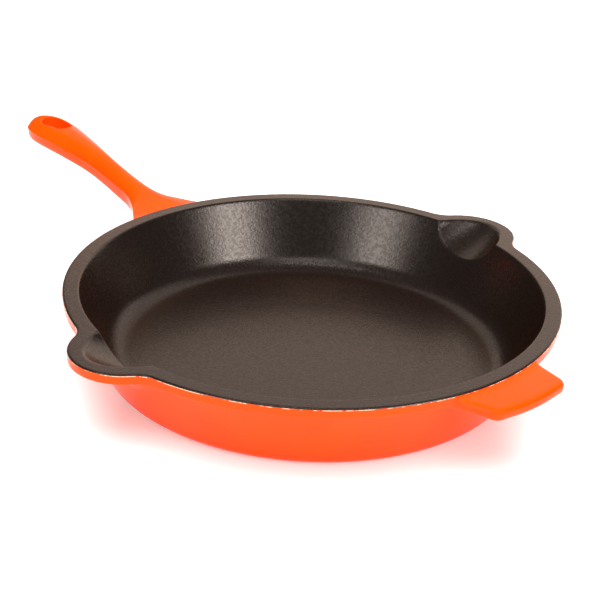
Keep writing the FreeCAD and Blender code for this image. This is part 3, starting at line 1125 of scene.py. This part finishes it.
@dataclass
class LongHandleCoat(Piece):
    """The long handle's enamel: domed top, boxed underside, rounded tip and hanging hole."""

    rim: Rim = field(default_factory=Rim)
    bowl: Bowl = field(default_factory=Bowl)
    sizes: Stations = field(default_factory=Stations)
    hole: EggHole = field(default_factory=EggHole)
    name: str = "long_handle_coat"
    stands_for: tuple[str, ...] = ("long_handle_enamel",)
    split: float = 226.0
    bend_limit: float = 0.985
    box_wide: float = 8.8
    box_deep: float = 4.4
    hole_rounding: float = 1.1
    ridge: float = 0.22
    ridge_reach: float = 0.55
    ridge_centre: float = 4.0
    ridge_clear: float = 3.0
    meeting: float = 44.45
    fillet_reach: float = 1.3
    fade: tuple[float, float] = (150.0, 170.0)
    fine_length: float = 14.0
    fine_end: float = 150.0
    across_steps: int = 44
    tip_steps: int = 120
    head_rings: int = 26

    def top(self, x: Array, share: Array) -> Array:
        """The domed top's height: parting + dome F(q).

        F is the arc (sqrt(1 - k^2 q^2) - c) / (1 - c), with c^2 = 1 - k^2.

        Args:
            x: places along X.
            share: the distance from the middle line over the half width, q.

        Returns:
            The height over the table.
        """
        width = np.maximum(self.sizes.width_at(x), 1e-6)
        dome = self.sizes.dome_at(x)
        bend = np.minimum(2.0 * width * dome / (width ** 2 + dome ** 2), self.bend_limit)
        bend = np.where(x > self.sizes.along[-1], np.maximum(bend, 0.8), bend)
        base = np.sqrt(1.0 - bend ** 2)
        arc = (np.sqrt(np.maximum(1.0 - (bend * share) ** 2, 0.0)) - base) / (1.0 - base)
        plain = self.sizes.parting_at(x) + dome * arc
        return plain + self.skirt(x, width * share, plain)

    def bottom(self, x: Array, share: Array) -> Array:
        """The boxed underside's height: parting - drop (1 - q^a)^(1 / b).

        Args:
            x: places along X.
            share: the distance from the middle line over the half width, q.

        Returns:
            The height over the table.
        """
        depth = np.maximum(1.0 - share ** self.box_wide, 0.0) ** (1.0 / self.box_deep)
        return self.sizes.parting_at(x) - self.sizes.drop_at(x) * depth

    def skirt(self, x: Array, y: Array, plain: Array) -> Array:
        """How much the top bends to meet the rim band: (t - z) exp(-d / e), d the distance from its edge.

        Args:
            x: places along X.
            y: places along Y.
            plain: the top's height there before it bends.

        Returns:
            The change of height.
        """
        gap = np.abs(np.hypot(x, y) - self.rim.radius)
        near, far = self.fade
        return (self.meeting - plain) * np.exp(-gap / self.fillet_reach) * smoothstep(-x, -far, -near)

    def start(self, share: Array, upper: bool) -> Array:
        """Where each lengthwise line starts, in the middle of the wall's thickness, by bisection.

        Args:
            share: each line's distance from the middle line over the half width.
            upper: whether the lines run on the top or the underside.

        Returns:
            The place along X of each start.
        """
        def beyond(x: Array) -> Array:
            """How far a place on the line lies outside the wall's middle."""
            z = self.top(x, share) if upper else self.bottom(x, share)
            return np.hypot(x, self.sizes.width_at(x) * share) - self.bowl.middle_radius(z)
        return bisect(beyond, np.full_like(share, 105.0), np.full_like(share, 150.0))

    def raised(self, points: Array) -> Array:
        """The points with a fine cast ridge pushed out along the parting line: d exp(-(z - parting)^2 / e^2).

        Args:
            points: shape (..., 3).

        Returns:
            The moved points.
        """
        x, y, z = points[..., 0], points[..., 1], points[..., 2]
        width = np.maximum(self.sizes.width_at(x), 1e-3)
        near = np.clip((np.abs(y) / width - 0.85) / 0.15, 0.0, 1.0)
        near = np.where(x > self.sizes.along[-1], 1.0, near)
        gap = (z - self.sizes.parting_at(x)) / self.ridge_reach
        centre = self.sizes.along[-1] - self.ridge_centre
        out = np.stack([np.maximum(x - centre, 0.0), y, np.zeros_like(z)], -1)
        out /= np.maximum(np.linalg.norm(out, axis=-1, keepdims=True), 1e-6)
        edge = self.hole.distance(x, y) > self.ridge_clear
        push = self.ridge * np.exp(-gap ** 2) * near * edge
        return points + out * push[..., None]

    def box_shares(self, count: int) -> Array:
        """Shares of the half width, 1 to 0, at equal lengths along the underside's boxed outline.

        Args:
            count: how many shares to return.

        Returns:
            The shares.
        """
        turn = np.linspace(0.0, math.pi / 2.0, 4001)
        share = np.cos(turn) ** (2.0 / self.box_wide)
        depth = np.maximum(1.0 - share ** self.box_wide, 0.0) ** (1.0 / self.box_deep)
        return np.clip(even_by_length(np.stack([share, 0.75 * depth], 1), count)[:, 0], 0.0, 1.0)

    def across(self, upper: bool) -> Array:
        """Signed shares of the half width across one side, from +1 to -1.

        Args:
            upper: whether it is the top or the underside.

        Returns:
            The shares, one for each lengthwise line.
        """
        half = self.across_steps // 2
        if upper:
            return np.cos(np.linspace(0.0, math.pi, self.across_steps + 1))
        right = self.box_shares(half + 1)
        return np.concatenate([right, -right[::-1][1:]])

    def shaft(self, upper: bool) -> Array:
        """The grid of one side from the wall to the split.

        Args:
            upper: whether it is the top or the underside.

        Returns:
            The grid, shape (along X, across, 3).
        """
        share = self.across(upper)
        first = self.start(np.abs(share), upper)
        near = np.minimum(first + self.fine_length, self.fine_end)
        steps = [first + (near - first) * s for s in np.linspace(0.0, 1.0, 25)[:-1]]
        steps += [near + (self.split - near) * s for s in np.linspace(0.0, 1.0, 56)]
        x = np.stack(steps)
        y = self.sizes.width_at(x) * share
        wide = np.broadcast_to(np.abs(share), x.shape)
        z = self.top(x, wide) if upper else self.bottom(x, wide)
        return np.stack([x, y, z], -1)

    def head_loop(self, upper: bool) -> tuple[Array, Array]:
        """The head's outer loop in plan: across the split, then round the tip's outline and back.

        Args:
            upper: whether it bounds the top or the underside.

        Returns:
            The loop's points, and how much each belongs to the outline rather than to the split.
        """
        share = self.across(upper)
        half = self.sizes.width_at(np.array(self.split))
        split = np.stack([np.full_like(share, self.split), half * share], 1)
        last = self.sizes.along[-1]
        sides = np.linspace(self.split, last, 400)
        turn = np.linspace(0.0, math.pi / 2.0, 3000)[1:]
        round_x = last + (self.sizes.tip - last) * np.sin(turn) ** (2.0 / self.sizes.plan_power)
        x = np.concatenate([sides, round_x])
        side = even_by_length(np.stack([x, -self.sizes.width_at(x)], 1), self.tip_steps // 2 + 1)
        outline = np.concatenate([side[1:], side[::-1][1:-1] * [1.0, -1.0]])
        loop = np.concatenate([split, outline])
        belongs = np.concatenate([np.zeros(len(split)), np.ones(len(outline))])
        kernel = np.array([1.0, 2.0, 3.0, 2.0, 1.0]) / 9.0
        wrapped = np.concatenate([belongs[-2:], belongs, belongs[:2]])
        return loop, np.convolve(wrapped, kernel, "valid") * (belongs > 0)

    def head(self, upper: bool, steps: int) -> Array:
        """The grid of one side of the head, rings from the outer loop to the hole's edge.

        Args:
            upper: whether it is the top or the underside.
            steps: how many rings there are.

        Returns:
            The grid, shape (rings, round the loop, 3).
        """
        loop, belongs = self.head_loop(upper)
        centre = 0.5 * (self.hole.inner_place + self.hole.outer_place)
        ray = np.arctan2(loop[:, 1], loop[:, 0] - centre)
        reach = self.hole.edge(ray, centre)
        edge = np.stack([centre + reach * np.cos(ray), reach * np.sin(ray)], 1)
        even = np.linspace(0.0, 1.0, steps)[:, None]
        steep = 1.0 - np.cos(0.5 * math.pi * even) if upper else (1.0 - self.box_shares(steps))[:, None]
        ease = steep * belongs + even * (1.0 - belongs)
        gap = np.linalg.norm(loop - edge, axis=1)
        turned = 1.0 - self.hole_rounding / gap
        plan = loop[None] + (edge - loop)[None] * (ease * turned)[..., None]
        sweep = np.linspace(0.0, math.pi / 2.0, 8)[1:, None]
        close = turned + (1.0 - turned) * np.sin(sweep)
        plan = np.concatenate([plan, loop[None] + (edge - loop)[None] * close[..., None]])
        x, y = plan[..., 0], plan[..., 1]
        share = np.clip(np.abs(y) / np.maximum(self.sizes.width_at(x), 1e-6), 0.0, 1.0)
        share[0] = np.where(belongs > 0.0, 1.0, share[0])
        z = self.top(x, share) if upper else self.bottom(x, share)
        inward = np.clip(self.hole_rounding - self.hole.distance(x, y), 0.0, self.hole_rounding)
        fall = self.hole_rounding - np.sqrt(self.hole_rounding ** 2 - inward ** 2)
        return np.stack([x, y, z - fall if upper else z + fall], -1)

    def surface(self) -> Surface:
        """The handle's skin: shaft and head, top and underside, joined at the parting line and down the hole.

        Returns:
            The closed surface; a hidden strip closes it inside the pan's wall.
        """
        surface = Surface(self.name)
        upper_shaft, lower_shaft = self.raised(self.shaft(True)), self.raised(self.shaft(False))
        upper_head = self.raised(self.head(True, self.head_rings))
        lower_head = self.raised(self.head(False, self.head_rings))
        count = self.across_steps + 1
        top = surface.add(upper_shaft)
        low_inner = surface.add(lower_shaft[:, 1:-1])
        low = np.concatenate([top[:, :1], low_inner, top[:, -1:]], axis=1)
        surface.quads(top)
        surface.quads(low, flip=True)
        surface.quads(np.stack([low[0, 1:-1], top[0, 1:-1]]))
        surface.cap(np.array([top[0, 1], top[0, 0], low[0, 1]]))
        surface.cap(np.array([top[0, -1], top[0, -2], low[0, -2]]))
        upper_ring = np.concatenate([top[-1], surface.add(upper_head[0, count:])])
        lower_ring = np.concatenate([low[-1], upper_ring[count:]])
        upper = np.concatenate([upper_ring[None], surface.add(upper_head[1:])])
        lower = np.concatenate([lower_ring[None], surface.add(lower_head[1:])])
        surface.quads(upper, closed=True)
        surface.quads(lower, closed=True, flip=True)
        depth = np.linspace(0.0, 1.0, 9)[1:-1, None, None]
        between = upper_head[-1] * (1.0 - depth) + lower_head[-1] * depth
        inside = np.concatenate([upper[-1:], surface.add(between), lower[-1:]])
        surface.quads(inside, closed=True)
        return surface


@dataclass
class HelperCoat(Piece):
    """The helper handle's enamel: a flat tab with rounded edges and corners that flares into the rim band."""

    rim: Rim = field(default_factory=Rim)
    bowl: Bowl = field(default_factory=Bowl)
    name: str = "helper_coat"
    stands_for: tuple[str, ...] = ("helper_handle_enamel",)
    top_height: float = 43.1
    low_height: float = 36.6
    end: float = 153.2
    end_half: float = 25.1
    end_offset: float = -4.8
    bulge: float = 3.3
    bulge_radius: float = 95.0
    waist: float = 131.5
    waist_half: float = 30.2
    waist_offset: float = -3.1
    root: float = 110.0
    root_half: float = 49.0
    corner: float = 6.0
    blend: float = 9.0
    edge: float = 2.6
    fillet: float = 0.8
    fillet_reach: float = 1.1

    def rounded(self, corners: Array, radii: Sequence[float]) -> Array:
        """A path through corners with each inner corner replaced by its tangent arc.

        At a corner with half turn a, the arc of radius r starts r tan a before it.

        Args:
            corners: shape (n, 2).
            radii: the radius at every corner but the first and last.

        Returns:
            Dense points along the path.
        """
        pieces = [corners[:1]]
        for before, at, after, radius in zip(corners[:-2], corners[1:-1], corners[2:], radii):
            arriving = (at - before) / np.linalg.norm(at - before)
            leaving = (after - at) / np.linalg.norm(after - at)
            cross = arriving[0] * leaving[1] - arriving[1] * leaving[0]
            turn = math.atan2(cross, float(arriving @ leaving))
            start = at - arriving * radius * math.tan(abs(turn) / 2.0)
            side = math.copysign(1.0, turn) * np.array([-arriving[1], arriving[0]])
            centre = start + side * radius
            sweep = np.linspace(0.0, turn, 60)[:, None]
            spoke = start - centre
            pieces.append(centre + spoke * np.cos(sweep) + np.array([-spoke[1], spoke[0]]) * np.sin(sweep))
        pieces.append(corners[-1:])
        return np.concatenate(pieces)

    def outline(self, count: int) -> tuple[Array, Array]:
        """The tab's plan outline from its +Y root round its end to its -Y root, with outward normals.

        Args:
            count: how many points it gets.

        Returns:
            The points and the unit normals, each of shape (count, 2).
        """
        side = np.array([[-self.root, self.root_half], [-self.waist, self.waist_half],
                         [-self.end, self.end_half]])
        shift = np.array([[0.0, self.waist_offset], [0.0, self.waist_offset], [0.0, self.end_offset]])
        tip = np.array([[-self.end - self.bulge, self.end_offset]])
        corners = np.concatenate([side + shift, tip, (side * [1.0, -1.0] + shift)[::-1]])
        radii = (self.blend, self.corner, self.bulge_radius, self.corner, self.blend)
        path = even_by_length(self.rounded(corners, radii), 2401)
        path = path[np.hypot(path[:, 0], path[:, 1]) > self.bowl.middle_radius(self.top_height)]
        path = even_by_length(path, count)
        along = np.gradient(path, axis=0)
        along /= np.linalg.norm(along, axis=1, keepdims=True)
        return path, np.stack([along[:, 1], -along[:, 0]], 1)

    def surface(self) -> Surface:
        """The tab: a ruled flat top, the rounded edge e (sin t, cos t), its underside, and a strip in the wall.

        Returns:
            The closed surface.
        """
        count = 150
        path, normal = self.outline(count)
        middle = 0.5 * (self.top_height + self.low_height)
        flat = path - normal * self.edge
        top_radius = self.bowl.middle_radius(self.top_height)
        low_radius = self.bowl.middle_radius(self.low_height)
        ends = flat[[0, -1], 1]
        root_y = np.linspace(ends[0], ends[1], count)

        def root(radius: float) -> Array:
            """The root's plan, on a circle in the wall."""
            return np.stack([-np.sqrt(radius ** 2 - root_y ** 2), root_y], 1)

        share = spread([0.0, 0.3, 1.0], [16, 12])[:-1, None, None]
        turn = np.linspace(0.0, math.pi / 2.0, 11)[:, None, None]
        half = 0.5 * (self.top_height - self.low_height) - self.edge

        def face(radius: float, height: float) -> Array:
            """A flat side, from its root to the rounded edge."""
            plan = root(radius)[None] * (1.0 - share) + flat[None] * share
            gap = np.maximum(np.hypot(plan[..., 0], plan[..., 1]) - self.rim.radius, 0.0)
            rise = self.fillet * np.exp(-gap / self.fillet_reach) if height > middle else 0.0 * gap
            return np.concatenate([plan, (height + rise)[..., None]], -1)

        round_plan = flat[None] + normal[None] * self.edge * np.sin(turn)
        gap = np.maximum(np.hypot(round_plan[..., 0], round_plan[..., 1]) - self.rim.radius, 0.0)
        lift = self.fillet * np.exp(-gap / self.fillet_reach)[..., None] * np.cos(turn)
        upper_round = np.concatenate([round_plan, middle + half + self.edge * np.cos(turn) + lift
                                      + np.zeros_like(round_plan[..., :1])], -1)
        lower_round = np.concatenate([round_plan[::-1], middle - half - self.edge * np.cos(turn[::-1])
                                      + np.zeros_like(round_plan[..., :1])], -1)
        skin = np.concatenate([face(top_radius, self.top_height), upper_round, lower_round,
                               face(low_radius, self.low_height)[::-1]])
        surface = Surface(self.name)
        numbers = surface.add(skin)
        surface.quads(numbers, flip=True)
        surface.quads(np.stack([numbers[-1], numbers[0]]), flip=True)
        surface.cap(numbers[:, 0], flip=True)
        surface.cap(numbers[:, -1])
        return surface


# ---------------------------------------------------------------- stage, light and camera

@dataclass(frozen=True)
class Softbox:
    """A rectangular light that faces the pan; its turn is measured from the camera's side of the pan."""

    name: str
    turn: float
    elevation: float
    distance: float
    size: tuple[float, float]
    power: float
    mirrored: bool = True


SOFTBOXES = (
    Softbox("left softbox", -37.0, 22.0, 1.7, (0.62, 0.62), 6.6),
    Softbox("right softbox", 48.0, 22.0, 1.7, (0.62, 0.62), 10.5),
    Softbox("overhead scrim", 0.0, 88.0, 2.2, (3.0, 3.0), 122.0, mirrored=False),
    Softbox("edge strip", -10.0, 74.0, 2.0, (1.1, 0.12), 2.6),
    Softbox("high front strip", 4.0, 52.0, 2.0, (1.2, 0.5), 3.5),
    Softbox("high backdrop", 168.0, 46.0, 2.4, (3.6, 1.3), 9.0),
    Softbox("backdrop glow", 162.0, 15.0, 2.6, (3.2, 1.4), 14.0),
)


@dataclass(frozen=True)
class Studio:
    """The paper floor, the soft lights and the camera."""

    aim: tuple[float, float, float] = (0.0044, 0.0048, 0.0351)
    distance: float = 0.77
    azimuth: float = 137.464
    elevation: float = 25.654
    roll: float = 2.788
    lens: float = 84.19
    world: float = 0.04

    def direction(self, azimuth: float, elevation: float) -> Vector:
        """The unit vector towards an azimuth and elevation in degrees."""
        turn, lift = math.radians(azimuth), math.radians(elevation)
        return Vector((math.cos(lift) * math.cos(turn), math.cos(lift) * math.sin(turn), math.sin(lift)))

    def camera(self) -> bpy.types.Object:
        """The camera, looking at the pan from beside and above."""
        back = self.direction(self.azimuth, self.elevation)
        right = Vector((0.0, 0.0, 1.0)).cross(back).normalized()
        up = back.cross(right)
        roll = math.radians(self.roll)
        turned_right = right * math.cos(roll) + up * math.sin(roll)
        turned_up = up * math.cos(roll) - right * math.sin(roll)
        data = bpy.data.cameras.new("camera")
        data.lens = self.lens
        data.sensor_width = 36.0
        data.clip_start = 0.01
        built = bpy.data.objects.new("camera", data)
        turn = Matrix((turned_right, turned_up, back)).transposed().to_4x4()
        built.matrix_world = Matrix.Translation(Vector(self.aim) + back * self.distance) @ turn
        bpy.context.scene.collection.objects.link(built)
        bpy.context.scene.camera = built
        return built

    def light(self, box: Softbox) -> bpy.types.Object:
        """Set up one softbox.

        Args:
            box: its place, size and power.

        Returns:
            The light.
        """
        data = bpy.data.lights.new(box.name, "AREA")
        data.shape = "RECTANGLE"
        data.size, data.size_y = box.size
        data.energy = box.power
        built = bpy.data.objects.new(box.name, data)
        away = self.direction(self.azimuth + box.turn, box.elevation)
        built.location = Vector(self.aim) + away * box.distance
        built.rotation_euler = away.to_track_quat("Z", "Y").to_euler()
        built.visible_glossy = box.mirrored
        bpy.context.scene.collection.objects.link(built)
        return built

    def floor(self) -> bpy.types.Object:
        """A wide paper floor."""
        surface = Surface("studio_floor")
        across, along = np.meshgrid(np.linspace(-6000.0, 6000.0, 9), np.linspace(-6000.0, 6000.0, 9))
        sheet = np.stack([across, along, np.full_like(across, -0.05)], -1)
        surface.quads(surface.add(sheet))
        built = surface.build()
        built.data.materials.append(StudioPaper().material())
        return built

    def build(self) -> None:
        """Set up the floor, the lights, the world and the camera."""
        self.floor()
        for box in SOFTBOXES:
            self.light(box)
        world = bpy.data.worlds.new("studio world")
        world.use_nodes = True
        background = world.node_tree.nodes["Background"]
        background.inputs["Color"].default_value = (1.0, 1.0, 1.0, 1.0)
        background.inputs["Strength"].default_value = self.world
        bpy.context.scene.world = world
        bpy.context.scene.view_settings.view_transform = "Standard"
        self.camera()


def dress_casting(frame: dict, material: bpy.types.Material) -> None:
    """Give every node of the casting the iron's finish."""
    for name, node in frame["nodes"].items():
        node.data.materials.clear()
        node.data.materials.append(material)
        log.info("casting node %s dressed", name)


def main() -> None:
    """Build every coat, dress the casting and light the scene."""
    logging.basicConfig(level=logging.INFO, format="%(message)s")
    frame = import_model()
    orange = GlossyEnamel().material()
    dress_casting(frame, RawIron().material())
    InteriorCoat().build(PebbledEnamel().material())
    # the outer coat's enamel has the painted highlight along its rim edge
    OuterCoat().build(GlossyEnamel(name="orange enamel with a painted rim highlight", with_painted_highlight=True).material())
    BaseCoat().build(WornEnamel().material())
    LongHandleCoat().build(orange)
    HelperCoat().build(orange)
    Studio().build()


if __name__ == "__main__":
    main()
